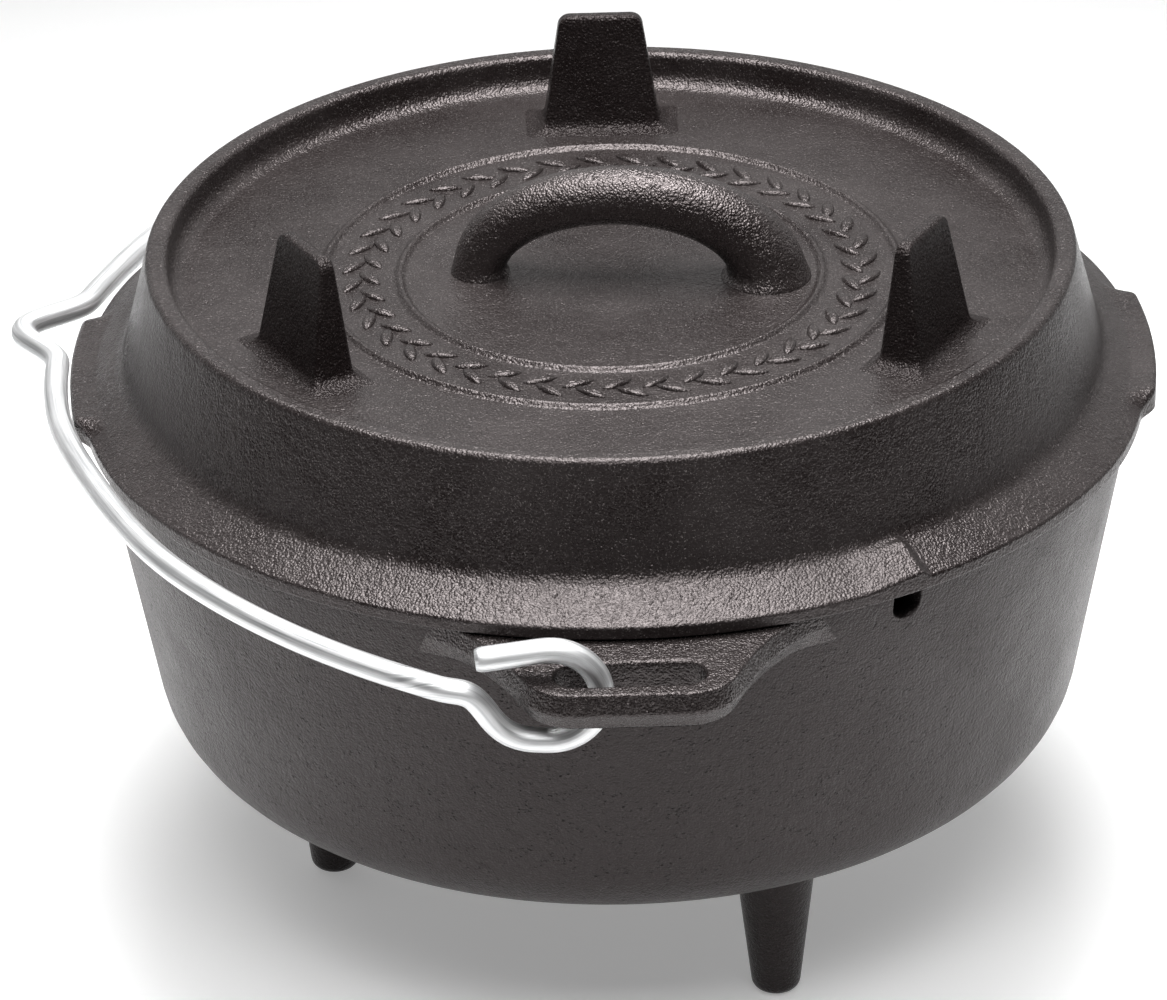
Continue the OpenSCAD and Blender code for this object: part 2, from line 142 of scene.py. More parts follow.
def cast_skin():
    """The skin of seasoned sand-cast iron as a group: sand grain of about half a millimetre over slow waves,
    small pits, a mottle of oil, and lighter specks painted in as glints. It puts out colour, roughness, and
    height in millimetres."""
    colour_kind, value_kind = "NodeSocketColor", "NodeSocketFloat"
    grain_h, wave_h, pit_h, sand_share = 0.17, 0.2, 0.08, 0.7
    oil_tone, painted_glint_tone, pit_shade = 0.09, 0.91, 0.8
    oil_gloss, sand_gloss, noise_mid = 0.3, 0.2, 0.5
    tree = bpy.data.node_groups.new("cast_skin", "ShaderNodeTree")
    for name, kind, value in (
        ("Dark", colour_kind, iron_black), ("Light", colour_kind, iron_grey), ("Grain", value_kind, 1.0),
        ("Waves", value_kind, 1.0), ("Pits", value_kind, 1.0), ("Dullness", value_kind, 0.27),
    ):
        tree.interface.new_socket(name, in_out="INPUT", socket_type=kind).default_value = value
    for name, kind in (("Colour", colour_kind), ("Roughness", value_kind), ("Height", value_kind)):
        tree.interface.new_socket(name, in_out="OUTPUT", socket_type=kind)
    given = tree.nodes.new("NodeGroupInput").outputs
    spot = put(tree, "TexCoord").outputs["Object"]
    spot = put(tree, "VectorMath", {0: spot, "Scale": 1 / MM}, operation="SCALE").outputs[0]

    def noise(scale, detail, rough=0.55):
        """Cloudy noise with scale features to the millimetre, and finer ones added detail times over."""
        return put(tree, "TexNoise", {
            "Vector": spot, "Scale": scale, "Detail": detail, "Roughness": rough}).outputs[0]

    def cells(scale):
        """How far each spot is from the nearest of scattered points, with scale points to the millimetre."""
        return put(tree, "TexVoronoi", {"Vector": spot, "Scale": scale}).outputs["Distance"]

    def sums(kind, a, b):
        """One sum of two values or links in this group."""
        return worked(tree, kind, a, b)

    def ramp(value, low, high):
        """0 at low, 1 at high, and in proportion between them."""
        return put(tree, "MapRange", {"Value": value, "From Min": low, "From Max": high}).outputs[0]

    sand, lumps, waves, oil = noise(2.6, 1.0, 0.6), noise(0.8, 1.0), noise(0.2, 2.0), noise(0.045, 4.0, 0.6)
    grains, holes = cells(1.9), cells(0.95)
    pits = sums("MULTIPLY", ramp(holes, 0.3, 0.16), ramp(noise(0.3, 2.0), 0.5, 0.6))
    # Lighter specks painted into the colour: painted glints of the grain, the same under any lamp
    glint_specks = ramp(noise(3.1, 1.0), 0.62, 0.74)
    height = sums("ADD", sums("SUBTRACT", sums("MULTIPLY", sand, sand_share), grains), lumps)
    height = sums("MULTIPLY", height, sums("MULTIPLY", given["Grain"], grain_h))
    height = sums("ADD", height, sums("MULTIPLY", waves, sums("MULTIPLY", given["Waves"], wave_h)))
    height = sums("SUBTRACT", height, sums("MULTIPLY", pits, sums("MULTIPLY", given["Pits"], pit_h)))
    mottle = sums("MULTIPLY", ramp(oil, 0.32, 0.7), oil_tone)
    tone = sums("ADD", mottle, sums("MULTIPLY", glint_specks, painted_glint_tone))
    tone = sums("MULTIPLY", tone, sums("SUBTRACT", 1.0, sums("MULTIPLY", pits, pit_shade)))
    colour = put(tree, "Mix", {0: tone, 6: given["Dark"], 7: given["Light"]}, data_type="RGBA").outputs[2]
    rough = sums("ADD", given["Dullness"], sums("MULTIPLY", sums("SUBTRACT", oil, noise_mid), oil_gloss))
    rough = sums("ADD", rough, sums("MULTIPLY", sums("SUBTRACT", sand, noise_mid), sand_gloss))
    out = tree.nodes.new("NodeGroupOutput").inputs
    for name, value in (("Colour", colour), ("Roughness", rough), ("Height", height)):
        tree.links.new(value, out[name])
    return tree


def iron(name, ior, **values):
    """Seasoned iron: the cast skin's colour, dullness and relief on one shader, with the given values."""
    finish = bpy.data.materials.new(name)
    finish.use_nodes = True
    tree = finish.node_tree
    cast = put(tree, "Group", node_tree=cast_group)
    for key, value in values.items():
        cast.inputs[key].default_value = value
    relief = put(tree, "Bump", {"Height": cast.outputs["Height"], "Strength": 1.0, "Distance": MM})
    shader = tree.nodes["Principled BSDF"].inputs
    tree.links.new(cast.outputs["Colour"], shader["Base Color"])
    tree.links.new(cast.outputs["Roughness"], shader["Roughness"])
    tree.links.new(relief.outputs[0], shader["Normal"])
    shader["IOR"].default_value = ior
    shader["Specular Tint"].default_value = oil_sheen
    return finish


def place(piece, body, slot, *nodes):
    """Lets a piece stand for its nodes, which it hides, and ride on their body. The slot is not used."""
    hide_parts(*nodes)
    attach(piece, body)


cast_group = cast_skin()
# The bowl takes the darker light end: painted shade
pot_finish = iron("pot_iron", ior=1.43, Grain=0.85, Pits=4.5, Dullness=0.42, Light=shaded_grey)

bowl_profile = outline([
    (pole_r, foot_z, 0), (pot_foot_r, foot_z, foot_round), (pot_r, rim_z, rim_round),
    (pot_r - pot_wall, rim_z, inner_rim_round), (inner_foot_r, floor_z, inner_round),
    (pole_r, floor_z, 0)], bends=9)
# A column each degree, apart from the notch, where columns follow its half circle and its lips
even_az = np.radians(np.arange(0.0, 360.0, 1.0))
notch_side = notch_r * np.sin(np.linspace(-np.pi / 2, np.pi / 2, notch_steps))
notch_lip = notch_r + lip_out
notch_run = np.concatenate([-notch_lip[::-1], notch_side, notch_lip])
off_notch = np.abs(turn_from(notch_az, even_az)) > column_gap * notch_lip[-1] / pot_r
bowl_az = np.sort(np.concatenate([even_az[off_notch], (notch_az + notch_run / pot_r) % (2 * np.pi)]))
across = np.abs(turn_from(notch_az, bowl_az)) * pot_r
# The rim's height round the pot: a half circle below the notch's middle, steep sides, and rounded lips
rim_top = np.where(
    across <= notch_r + hair,
    notch_mid_z - np.sqrt(np.maximum(notch_r ** 2 - across ** 2, 0)),
    np.interp(across, notch_lip, rim_z - lip_drop))
# Rows in the band below the rim follow it down, by less the lower they are, and lean in as the wall does
bowl = turned(bowl_profile, bowl_az)
high = np.clip((bowl[..., 2] - rim_z + notch_band) / notch_band, 0, None)
drop = high * (rim_z - rim_top)
bowl_r = np.linalg.norm(bowl[..., :2], axis=-1, keepdims=True)
bowl[..., :2] *= 1 - drop[..., None] * lean / bowl_r
bowl[..., 2] -= drop
place(skin("pot_bowl_casting", bowl, pot_finish), "pot", "pot_iron", "pot_bowl")

# Legs: three tapered round feet cast under the bowl, a third of a turn apart, to stand it in the coals.
# Each has a rounded tip, worn smooth on the ground, and spreads in a small fillet where it meets the bowl.
leg_ring_r, leg_tip_r, leg_root_r, leg_spread_r, leg_pole_r = 61.6, 4.9, 9.5, 14.5, 0.8
leg_tip_round, leg_fillet, leg_bite, leg_column = 2.4, 3.2, 0.3, 7.5
# The legs take the darker light end: painted shade
leg_finish = iron("leg_iron", ior=1.34, Grain=0.7, Light=shaded_grey)
leg_profile = outline([
    (leg_pole_r, 0.0, 0), (leg_tip_r, 0.0, leg_tip_round), (leg_root_r, foot_z, leg_fillet),
    (leg_spread_r, foot_z + leg_bite, 0)])
leg_az = np.radians(np.arange(0, 360, leg_column))
for leg, az in (("left", 180), ("front", -60), ("back", 60)):
    stand = [leg_ring_r * np.cos(np.radians(az)), leg_ring_r * np.sin(np.radians(az)), 0]
    grid = turned(leg_profile, leg_az) + stand
    place(skin("pot_leg_" + leg + "_casting", grid, leg_finish), "pot", "pot_iron", "pot_leg_" + leg)

# Ears: two slotted lugs cast on the rim, front and back, that carry the bail's hooks.
# Each is a flat tongue with round corners whose sides spread and sweep a long way into the wall.
# Its edge leans in a little above the line where the two halves of the mould met, and more below it.
ear_half_w, ear_front, ear_corner, ear_gap, ear_h = 18.9, 132.97, 12.0, 0.08, 8.0
ear_splay, ear_sweep_r, ear_bite = np.radians(21.5), 56.0, 2.5
ear_draft, ear_tuck, ear_round, ear_low_round, slot_round = 1.0, 1.7, 0.6, 0.9, 0.8
slot_mid, slot_r, slot_straight, corner_turn, side_turn = 123.8, 4.4, 10.3, 1.5, 1.8
part_drop, part_step, part_inset = 4.1, 0.6, (0.25, 0.04, 0.14)
low_share, low_inset, top_share, top_inset = (0.35, 0.7), (1.5, 2.0), (0.66, 0.33), (1.6, 1.4)
flat_hold, edge_hold, draft_left, wall_fade_in, wall_fade_out = 0.5, 0.4, 0.1, 2.0, 3.0
front_points, corner_points, sweep_points, wall_points, round_points = 10, 14, 30, 16, 6
ear_top, ear_low, ear_part = rim_z - ear_gap, rim_z - ear_h, rim_z - part_drop
ear_finish = iron("ear_iron", ior=1.52, Grain=0.9)


def bent(middle, radius, start, end, count):
    """Points of an arc: middle + radius (cos az, sin az), with az going evenly from start to end."""
    az = np.linspace(start, end, count)
    return middle + radius * np.stack([np.cos(az), np.sin(az)], -1)


def smooth(low, high, value):
    """0 below low, 1 above high, and 3 t^2 - 2 t^3 between them."""
    t = np.clip((value - low) / (high - low), 0, 1)
    return t * t * (3 - 2 * t)


# Right half of the plan: front, corner, spreading side, sweep, and an arc that lies inside the wall.
# The sweep's middle is as far from the side as its radius, and so far out that the sweep dips into the wall.
side_way = np.array([np.sin(ear_splay), np.cos(ear_splay)])
away = np.array([ear_half_w, -ear_front]) + ear_sweep_r * np.array([side_way[1], -side_way[0]])
sweep_far = pot_r + ear_sweep_r - ear_bite
side_length = -away @ side_way - np.sqrt((away @ side_way) ** 2 - away @ away + sweep_far ** 2)
sweep_mid = away + side_length * side_way
sweep_end = np.arctan2(-sweep_mid[1], -sweep_mid[0])
corner_cut = ear_corner / np.tan((np.pi / 2 + ear_splay) / 2)
corner_mid = np.array([ear_half_w - corner_cut, ear_corner - ear_front])
front_part = np.stack([np.linspace(0, corner_mid[0], front_points), np.full(front_points, -ear_front)], -1)
corner_part = bent(corner_mid, ear_corner, -np.pi / 2, -ear_splay, corner_points)
sweep_part = bent(sweep_mid, ear_sweep_r, np.pi - ear_splay, sweep_end, sweep_points)
wall_part = bent(np.zeros(2), pot_r - ear_bite, sweep_end - np.pi, -np.pi / 2, wall_points)
half_plan = np.vstack([front_part, corner_part[1:], sweep_part, wall_part[1:]])
# Each point of the plan is joined to a point of the slot, so far along it, that no join crosses the sweep
slot_half = 2 * slot_straight + np.pi * slot_r
marks = np.cumsum([0, front_points - 1, corner_points - 1, 1, sweep_points - 1, wall_points - 1])
slot_run = np.interp(np.arange(len(half_plan)), marks, [
    0, slot_straight, slot_straight + corner_turn * slot_r, slot_straight + side_turn * slot_r,
    slot_half - slot_r, slot_half])
slot_az = np.clip((slot_run - slot_straight) / slot_r, 0, np.pi)
half_out = np.stack([np.sin(slot_az), -np.cos(slot_az)], -1)
slot_x = np.minimum(slot_run, slot_straight) - np.maximum(slot_run - slot_half + slot_straight, 0)
half_slot = slot_r * half_out + np.stack([slot_x, np.full(len(slot_run), -slot_mid)], -1)
plan, slot_edge, slot_out = (
    np.vstack([part, part[-2:0:-1] * [-1, 1]]) for part in (half_plan, half_slot, half_out))
run = np.roll(plan, -1, axis=0) - np.roll(plan, 1, axis=0)
plan_out = np.stack([run[:, 1], -run[:, 0]], -1) / np.linalg.norm(run, axis=1, keepdims=True)


def edge_rows(share, inset, level):
    """Rows of the ear's section: the share of the way from slot to edge, the inset from both, the height."""
    return np.stack(np.broadcast_arrays(share, inset, level), -1)


# Section of the ear, once round: along the bottom, up the edge's two slopes, over the top, and down the slot
arc = np.linspace(0, np.pi / 2, round_points)
rise, fall = 1 - np.cos(arc), 1 - np.sin(arc)
section = np.vstack([
    edge_rows([0, *low_share, 1], [slot_round, *low_inset, ear_tuck + ear_low_round + flat_hold], ear_low),
    edge_rows(1, ear_tuck + ear_low_round * fall, ear_low + ear_low_round * rise),
    edge_rows(1, part_inset, [ear_part - part_step, ear_part, ear_part + part_step]),
    edge_rows(1, [ear_draft - draft_left], [ear_top - ear_round - edge_hold]),
    edge_rows(1, ear_draft + ear_round * rise, ear_top - ear_round * fall),
    edge_rows(
        [1, *top_share, 0],
        [ear_draft + ear_round + flat_hold, *top_inset, slot_round + edge_hold], ear_top),
    edge_rows(0, slot_round * fall, ear_top - slot_round * rise),
    edge_rows(0, 0, [ear_top - slot_round - edge_hold, ear_low + slot_round + edge_hold]),
    edge_rows(0, slot_round * rise, ear_low + slot_round * fall)[:-1]])
share, inset, level = (section[:, k, None, None] for k in range(3))
# Insets fade out where the plan runs inside the wall, so that no gap opens there
free = smooth(pot_r - wall_fade_in, pot_r + wall_fade_out, np.linalg.norm(plan, axis=1))[:, None]
flat = (1 - share) * (slot_edge + slot_out * inset) + share * (plan - plan_out * inset * free)
front_ear = np.concatenate([flat, np.broadcast_to(level, flat[..., :1].shape)], -1)
for ear, facing in (("front", [1, 1, 1]), ("back", [-1, -1, 1])):
    piece = skin("pot_ear_" + ear + "_casting", front_ear * facing, ear_finish, ends="ring")
    place(piece, "pot", "pot_iron", "pot_ear_" + ear)

# Bail: one drawn and plated steel wire. Each end is bent cold into a hook that passes up through an ear's
# slot, and the bow between them has a kink in which a tripod's hook settles. At rest it lies on the left of
# the lid, drawn in a little where it passes the flange.
wire_r, wire_step, wire_sides, wire_rounds = 2.5, 0.8, 24, 3
hook_r, hook_stretch, hook_end, hook_top, hook_low, hook_leave = 10.0, 2.8, 13.0, 78, 270, -50
hook_step, leave_step, past, end_points, arm_points, join_points, bow_points = 3, 2, 0.1, 20, 12, 10, 401
arm_start, arm_l, arm_inset, arm_ease, bow_ease = 15.0, 24.0, 3.7, 4.0, 3.0
kink_depth, kink_w, kink_y = 9.4, 15.0, 20.5
draw_depth, draw_w, draw_y = 1.4, 34.0, 50.0
pivot, bail_slope, bail_mid_x = np.array([-18.3, 0, 112.3]), np.radians(4.5), 115.3
end_run, end_share, twist_from, twist_to = (0, 0.8, 1.6), (0.84, 0.97, 1.0), 0.2, 6.0
wire_dim, wire_bright = (0.57, 0.578, 0.585, 1), (0.88, 0.885, 0.89, 1)
bail_reach = (bail_mid_x + pivot[0]) / np.cos(bail_slope)
arm_y = slot_mid - arm_inset
bow_mid = (bail_reach ** 2 - arm_l ** 2 - arm_y ** 2) / (2 * (bail_reach - arm_l))
bow_r = bail_reach - bow_mid
arm_az = np.arctan2(arm_y, arm_l - bow_mid)


def hook(degrees):
    """The hook's middle line at these angles: a circle about the pivot, its back half pushed inwards."""
    az = np.radians(np.atleast_1d(degrees).astype(float))
    back = np.where(az > 0, hook_stretch, 0)
    return np.stack([hook_r * np.cos(az) - back, 0 * az - slot_mid, hook_r * np.sin(az)], -1)


def hook_way(degrees):
    """The way back along the hook's circle at an angle: (sin az, 0, -cos az)."""
    return np.array([np.sin(np.radians(degrees)), 0, -np.cos(np.radians(degrees))])


def pulled(a, b, c, d, count):
    """A cubic curve from a to d that leaves towards b and arrives from c."""
    t = np.linspace(0, 1, count + 1)[1:, None]
    return (1 - t) ** 3 * a + 3 * (1 - t) ** 2 * t * b + 3 * (1 - t) * t ** 2 * c + t ** 3 * d


def bow(az):
    """The bow's middle line: an arc of a circle, pushed out at the kink by half a cosine wave each side,
    and drawn in a little, by the same kind of wave, where it passes the flange."""
    y = bow_r * np.sin(az)
    wave = kink_depth * (1 + np.cos(np.pi * np.clip(np.abs(y - kink_y) / kink_w, 0, 1))) / 2
    drawn = draw_depth * (1 + np.cos(np.pi * np.clip(np.abs(np.abs(y) - draw_y) / draw_w, 0, 1))) / 2
    return np.stack([bow_mid + bow_r * np.cos(az) + wave - drawn, y, 0 * y], -1)


def swept(path, radius, aside, sides):
    """A round bar along a path: at each point a ring of the given radius, square to the path.
    The ring starts aside: radius (cos az aside + sin az over), where over is square to path and aside."""
    along = np.gradient(path, axis=0)
    along /= np.linalg.norm(along, axis=1, keepdims=True)
    aside = aside - (aside * along).sum(1, keepdims=True) * along
    aside /= np.linalg.norm(aside, axis=1, keepdims=True)
    over = np.cross(along, aside)
    az = np.linspace(0, 2 * np.pi, sides, endpoint=False)[:, None]
    ring = np.cos(az) * aside[:, None] + np.sin(az) * over[:, None]
    return path[:, None] + ring * np.reshape(radius, (-1, 1, 1))


def plated_wire():
    """Bright plated wire: the die's fine streaks run along it, from its own map of length and turn."""
    finish = bpy.data.materials.new("bail_steel")
    finish.use_nodes = True
    tree = finish.node_tree
    spot = put(tree, "SeparateXYZ", {0: put(tree, "UVMap", uv_map="run").outputs[0]}).outputs
    angle = worked(tree, "MULTIPLY", spot["X"], 2 * np.pi)
    round_x, round_y = worked(tree, "COSINE", angle), worked(tree, "SINE", angle)

    def streaks(around, along, detail):
        """Noise at (cos turn, sin turn, length): around is its scale round the wire, along to the metre."""
        length = worked(tree, "MULTIPLY", spot["Y"], along / around)
        where = put(tree, "CombineXYZ", {0: round_x, 1: round_y, 2: length}).outputs[0]
        return put(tree, "TexNoise", {"Vector": where, "Scale": around, "Detail": detail}).outputs[0]

    lines, stains = streaks(6.0, 0.03 / MM, 3.0), streaks(1.4, 0.05 / MM, 3.0)
    mixed = put(tree, "Mix", {0: 0.5, 2: stains, 3: lines}).outputs[0]
    tone = put(tree, "MapRange", {"Value": mixed, "From Min": 0.38, "From Max": 0.56}).outputs[0]
    colour = put(tree, "Mix", {0: tone, 6: wire_dim, 7: wire_bright}, data_type="RGBA").outputs[2]
    rough = put(tree, "MapRange", {
        "Value": lines, "From Min": 0.3, "From Max": 0.7, "To Min": 0.4, "To Max": 0.56}).outputs[0]
    relief = put(tree, "Bump", {"Height": lines, "Strength": 0.5, "Distance": 0.12 * MM}).outputs[0]
    shader = tree.nodes["Principled BSDF"].inputs
    tree.links.new(colour, shader["Base Color"])
    tree.links.new(rough, shader["Roughness"])
    tree.links.new(relief, shader["Normal"])
    shader["Metallic"].default_value = 0.94
    return finish


# Middle line of the wire, in bail lengths: front hook, arm, bow, and the same back to the other hook
top, leave = hook(hook_top)[0], hook(hook_leave)[0]
arm, bow_end = np.array([arm_start, -slot_mid, 0]), bow(np.array([-arm_az]))[0]
outwards, bow_along = np.array([1.0, 0, 0]), np.array([np.sin(arm_az), np.cos(arm_az), 0])
front_hook = np.vstack([
    top + np.linspace(1, 0, end_points, endpoint=False)[:, None] * hook_end * hook_way(hook_top),
    hook(np.arange(hook_top, hook_low + past, hook_step)),
    hook(np.arange(hook_low - 360, hook_leave + past, leave_step)),
    pulled(leave, leave - arm_ease * hook_way(hook_leave), arm - arm_ease * outwards, arm, arm_points),
    pulled(arm, arm + bow_ease * outwards, bow_end - bow_ease * bow_along, bow_end, join_points)])
bow_az = arm_az * np.linspace(-1, 1, bow_points)[1:-1]
route = np.vstack([front_hook, bow(bow_az), front_hook[::-1] * [1, -1, 1]])
# Even steps along the wire, then rounds of averaging with the neighbours take the edge off each bend
step_far = np.concatenate([[0], np.cumsum(np.linalg.norm(np.diff(route, axis=0), axis=1))])
wire_run = np.linspace(0, step_far[-1], int(step_far[-1] / wire_step))
route = np.stack([np.interp(wire_run, step_far, route[:, k]) for k in range(3)], -1)
for _ in range(wire_rounds):
    route[1:-1] = (route[:-2] + 2 * route[1:-1] + route[2:]) / 4
# The rings start sideways in the hooks and upwards along the bow, and the cut ends are rounded off
twist = np.pi / 2 * smooth(twist_from, twist_to, slot_mid - np.abs(route[:, 1]))
aside = np.stack([0 * twist, np.cos(twist), np.sin(twist)], -1)
from_end = np.minimum(wire_run, wire_run[-1] - wire_run)
wire = swept(route, wire_r * np.interp(from_end, end_run, end_share), aside, wire_sides)
# From bail lengths [out, along the hinge, up] to the frame: out is towards -X, tilted up by the slope
tilt = np.array([
    [-np.cos(bail_slope), 0, np.sin(bail_slope)], [0, 1, 0], [np.sin(bail_slope), 0, np.cos(bail_slope)]])
wire = (wire @ tilt + pivot)[:, ::-1]
bail = skin("bail_wire_bent", wire, plated_wire())
# The wire's own map, face by face: u is the share of a turn round it, v the length along it in metres
rows, cols = wire.shape[:2]
turns = np.arange(cols + 1) / cols
u0, u1 = np.broadcast_to(turns[:-1], (rows, cols)), np.broadcast_to(turns[1:], (rows, cols))
v = np.broadcast_to(wire_run[:, None] * MM, (rows, cols))
body_map = np.stack([u0[:-1], v[:-1], u1[:-1], v[:-1], u1[1:], v[1:], u0[1:], v[1:]], -1)
caps = [
    np.stack([a[k], v[k], b[k], v[k], (a[k] + b[k]) / 2, v[k]], -1)
    for k, a, b in ((0, u1, u0), (-1, u0, u1))]
run_map = bail.data.uv_layers.new(name="run")
run_map.data.foreach_set("uv", np.concatenate([body_map.ravel(), caps[0].ravel(), caps[1].ravel()]))
place(bail, "bail", "bail_steel", "bail_wire")

# Lid: one iron casting that rests on the rim. A flat plate lies inside a raised rim that holds the coals.
# A sloping wall leads down to a flange with two side tabs, and a ring below it keeps the lid in place.
# A low wedge cast on the flange marks where the notch is, and two raised beads circle the plate.
flange_z, flange_r, flange_in, flange_edge, flange_round, low_round = 116.9, 111.5, 106.5, 2.6, 0.8, 0.35
lid_top, plate_z, plate_low, hollow_r, hollow_round = 147.9, 140.6, 135.6, 88.7, 5.0
ring_r, ring_in, ring_low, ring_round, ring_root = 102.3, 97.8, 112.9, 0.6, 0.4
meet, wall_foot, wall_round = (107.06, 121.7), (101.4, 124.5), 4.5
lid_rim_r, lid_rim_in, lid_rim_round, dish_r, dish_round = 95.4, 91.2, 1.5, 90.7, 3.6
tab_x, tab_top, tab_edge_r, tab_margin, tab_columns = 112.3, 121.7, 150.0, 0.01, 26
tab_full, tab_fade, tab_splay, root_fade = np.radians((10.7, 3.6, 1.2, 16))
root_dip = 0.9
mark_az, mark_w, mark_h, mark_step = np.radians(-58.6), 13.0, 1.5, 2.6
mark_in_r, mark_full_r, mark_low = 101.5, 104.5, 1.0
climb_ends, climb_columns, step_ends, step_columns = (-mark_w - 1, -0.7), 9, (-0.5, mark_step + 0.2), 15
beads, bead_w, bead_h, bead_reach, bead_rows = (59.5, 43.5), 1.4, 0.9, 1.15, 13
plate_outer, plate_between, plate_inner = (80, 72, 65), (55, 49), (38, 30, 20, 12, pole_r)
lid_finish = iron("lid_iron", ior=1.51, Grain=0.65, Dullness=0.31)

# Profile of the lid, from the middle of its underside to the middle of its plate
below = outline([
    (pole_r, plate_low, 0), (hollow_r, plate_low, hollow_round), (ring_in, ring_low, ring_round),
    (ring_r, ring_low, ring_round), (ring_r, flange_z, ring_root), (flange_in, flange_z, 0)], cuts=5)
plain_edge = outline([
    (flange_in, flange_z, 0), (flange_r, flange_z, low_round),
    (flange_r, flange_z + flange_edge, flange_round), meet + (0,)])
tab_edge = outline([
    (flange_in, flange_z, 0), (tab_x, flange_z, low_round), (tab_x, tab_top, flange_round), meet + (0,)])
above = outline([
    meet + (0,), wall_foot + (wall_round,), (lid_rim_r, lid_top, lid_rim_round),
    (lid_rim_in, lid_top, lid_rim_round), (dish_r, plate_z, dish_round),
    (dish_r - 2 * dish_round, plate_z, 0)], bends=8, cuts=8)
bead_steps = np.linspace(bead_reach, -bead_reach, bead_rows) * bead_w
plate_r = np.concatenate([
    plate_outer, beads[0] + bead_steps, plate_between, beads[1] + bead_steps, plate_inner])
bead = sum(bead_h * (1 + np.cos(np.pi * np.clip((plate_r - r) / bead_w, -1, 1))) / 2 for r in beads)
plate = np.stack([plate_r, plate_z + bead], -1)
rest = np.vstack([above[1:], plate])

# A column each degree, with more of them where the tabs end and where the wedge climbs and drops
tab_end = tab_full + tab_fade + tab_splay
tab_close = np.concatenate([
    middle + sign * np.linspace(tab_full - tab_margin, tab_end + tab_margin, tab_columns)
    for middle in (0, np.pi) for sign in (-1, 1)])
mark_close = mark_az + np.concatenate([
    np.linspace(*climb_ends, climb_columns), np.linspace(*step_ends, step_columns)]) / flange_r
lid_az = np.unique(np.concatenate([even_az, tab_close % (2 * np.pi), mark_close % (2 * np.pi)]).round(5))
# Reach of the tab: its outer edge is an arc of a large circle, seen from the middle of the lid
side = np.angle(np.exp(2j * lid_az)) / 2
tab_mid = tab_x - tab_edge_r
tab_r = tab_mid * np.cos(side) + np.sqrt(tab_edge_r ** 2 - (tab_mid * np.sin(side)) ** 2)
tab_out = np.maximum(tab_edge[:, :1] - meet[0], 0) / (tab_x - meet[0])
tab_here = np.minimum(tab_edge[:, :1], meet[0]) + tab_out * (tab_r - meet[0])
# How much of the tab is left: all of it up to its end, which lies further off at the root, then a soft sweep
tab_part = 1 - smooth(0, tab_fade, np.abs(side) - tab_full - tab_splay * (1 - tab_out))
# The flange draws in a little beside each tab and comes back to its full round further on
beside = root_dip * (1 - smooth(0, root_fade, np.abs(side) - tab_full))
draw_in = beside * smooth(flange_in, flange_r, plain_edge[:, :1])
edge_r = (1 - tab_part) * (plain_edge[:, :1] - draw_in) + tab_part * tab_here
edge_z = (1 - tab_part) * plain_edge[:, 1:] + tab_part * tab_edge[:, 1:]
all_round = np.ones(len(lid_az))
lid_r = np.vstack([below[:-1, :1] * all_round, edge_r, rest[:, :1] * all_round])
lid_z = np.vstack([below[:-1, 1:] * all_round, edge_z, rest[:, 1:] * all_round])
# The wedge: it climbs to the right, ends in a short slope, and fades out up the wall
from_mark = turn_from(mark_az, lid_az) * flange_r
climb = mark_h * np.clip(1 + from_mark / mark_w, 0, 1) * (1 - smooth(0, mark_step, from_mark))
on_flange = smooth(mark_in_r, mark_full_r, lid_r) * (lid_z > flange_z + mark_low)
lid_z = lid_z + climb * on_flange
lid = np.stack([lid_r * np.cos(lid_az), lid_r * np.sin(lid_az), lid_z], -1)
place(skin("lid_casting", lid, lid_finish), "lid", "lid_iron", "lid_plate", "lid_skirt")

# Leaf band: a low wreath cast in relief on the plate, between the two beads, all one casting with the lid.
# Pointed leaves lean off one circle, by turns outwards and inwards, each with a shallow groove along it.
leaf_ring, leaf_l, leaf_w, leaf_h, leaf_pairs, leaf_lean = 51.5, 7.6, 2.7, 0.95, 40, np.radians(34)
leaf_point, leaf_stagger, leaf_reach, leaf_sides = 0.35, 0.35, 0.42, 16
groove_depth, groove_w, groove_from = 0.25, 0.3, 0.3
leaf_rise = np.array([-0.5, 0.15, 0.5, 0.8, 0.95])[:, None]
leaf_size = np.array([1.0, 0.97, 0.84, 0.6, 0.25])[:, None]
# One leaf: rings that shrink as they rise, each a circle drawn out to a point at both ends
leaf_turn = np.linspace(0, 2 * np.pi, leaf_sides, endpoint=False)
leaf_x = leaf_size * np.cos(leaf_turn) * leaf_l / 2
leaf_y = leaf_size * np.sin(leaf_turn) * np.abs(np.sin(leaf_turn)) ** leaf_point * leaf_w / 2
groove = groove_depth * leaf_h * np.exp(-(leaf_y / groove_w) ** 2) * (leaf_rise > groove_from)
leaf_z = leaf_rise * leaf_h - groove
# All leaves: each leans off the ring to its own side, and the ring's turn carries it round
leaf_number = np.arange(2 * leaf_pairs)
out_in = np.where(leaf_number % 2 == 0, 1, -1)[:, None, None]
leaf_az = (np.pi * (leaf_number + leaf_stagger * (leaf_number % 2)) / leaf_pairs)[:, None, None]
leaf_tip = leaf_x + leaf_reach * leaf_l
leaf_run = leaf_tip * np.cos(leaf_lean) - out_in * leaf_y * np.sin(leaf_lean)
leaf_off = leaf_ring + out_in * leaf_tip * np.sin(leaf_lean) + leaf_y * np.cos(leaf_lean)
leaf_at = leaf_az + leaf_run / leaf_ring
leaf_up = plate_z + leaf_z + 0 * leaf_at
leaves = np.stack([leaf_off * np.cos(leaf_at), leaf_off * np.sin(leaf_at), leaf_up], -1)
leaves = np.where(out_in[..., None] > 0, leaves[:, :, ::-1], leaves)
leaf_band = skin("lid_leaf_band", leaves, lid_finish)
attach(leaf_band, "lid")

